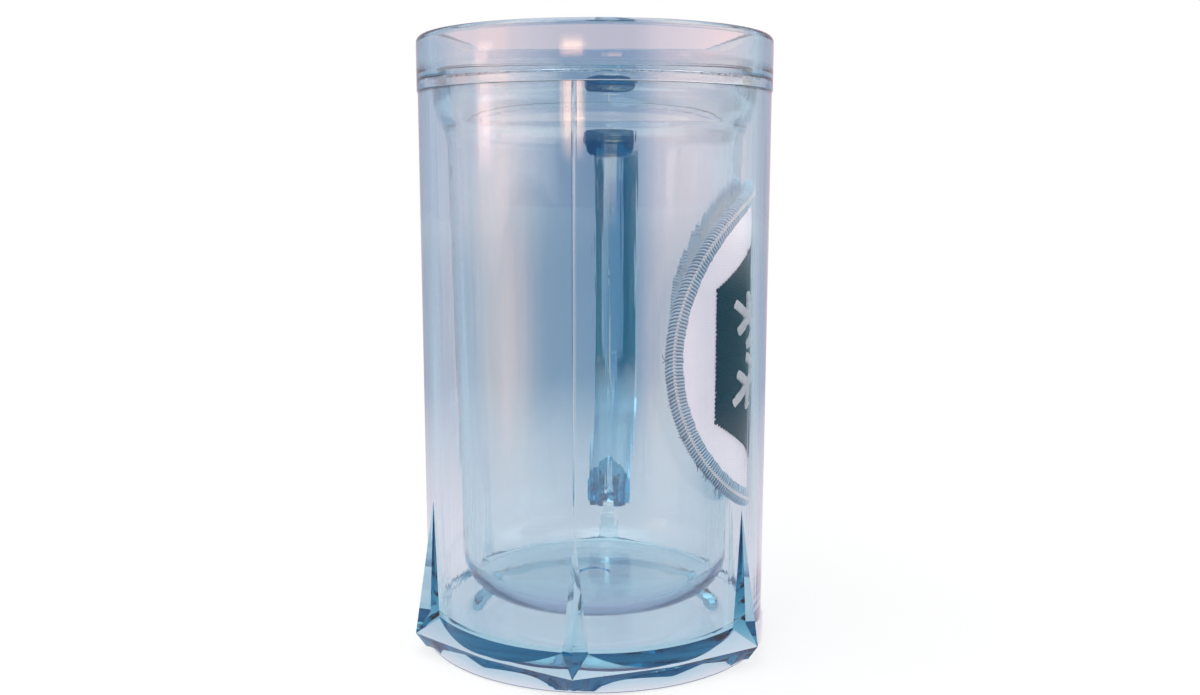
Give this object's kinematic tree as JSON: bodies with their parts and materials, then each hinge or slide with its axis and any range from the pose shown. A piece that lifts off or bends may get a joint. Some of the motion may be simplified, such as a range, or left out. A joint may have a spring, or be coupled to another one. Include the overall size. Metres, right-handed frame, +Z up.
{
  "type": "double-wall beer mug",
  "caption": "Tall clear double-wall beer mug with a lapped lip band, a D-section handle, a star-cut base and a round embroidered patch sealed in the gap between its walls.",
  "frame": {"origin": "on the mug's axis, in the plane of the foot ring that it stands on", "axes": "+Z up the mug's axis, +Y towards the handle, +X towards the patch"},
  "size_m": [0.09, 0.1332, 0.155],
  "materials": {
    "shell_plastic": "polished clear styrene with a faint blue cast",
    "cup_plastic": "polished clear styrene with a faint blue cast",
    "weld_plastic": "remelted, chipped along its edge",
    "handle_plastic": "polished clear styrene, deeper in colour where it is thick",
    "backing_cloth": "stiff pressed backing",
    "twill_cloth": "white diagonal twill",
    "border_thread": "overlocked silver-grey rayon thread",
    "dark_thread": "filled stitching in dark rayon thread",
    "white_thread": "satin stitching in white rayon thread"
  },
  "bodies": {
    "root": {"outer_shell": "shell_plastic", "inner_cup": "cup_plastic", "rim_weld": "weld_plastic", "handle": "handle_plastic", "patch_backing": "backing_cloth", "patch_twill": "twill_cloth", "patch_border": "border_thread", "patch_field": "dark_thread", "patch_snowflake": "white_thread"}
  },
  "joints": []
}
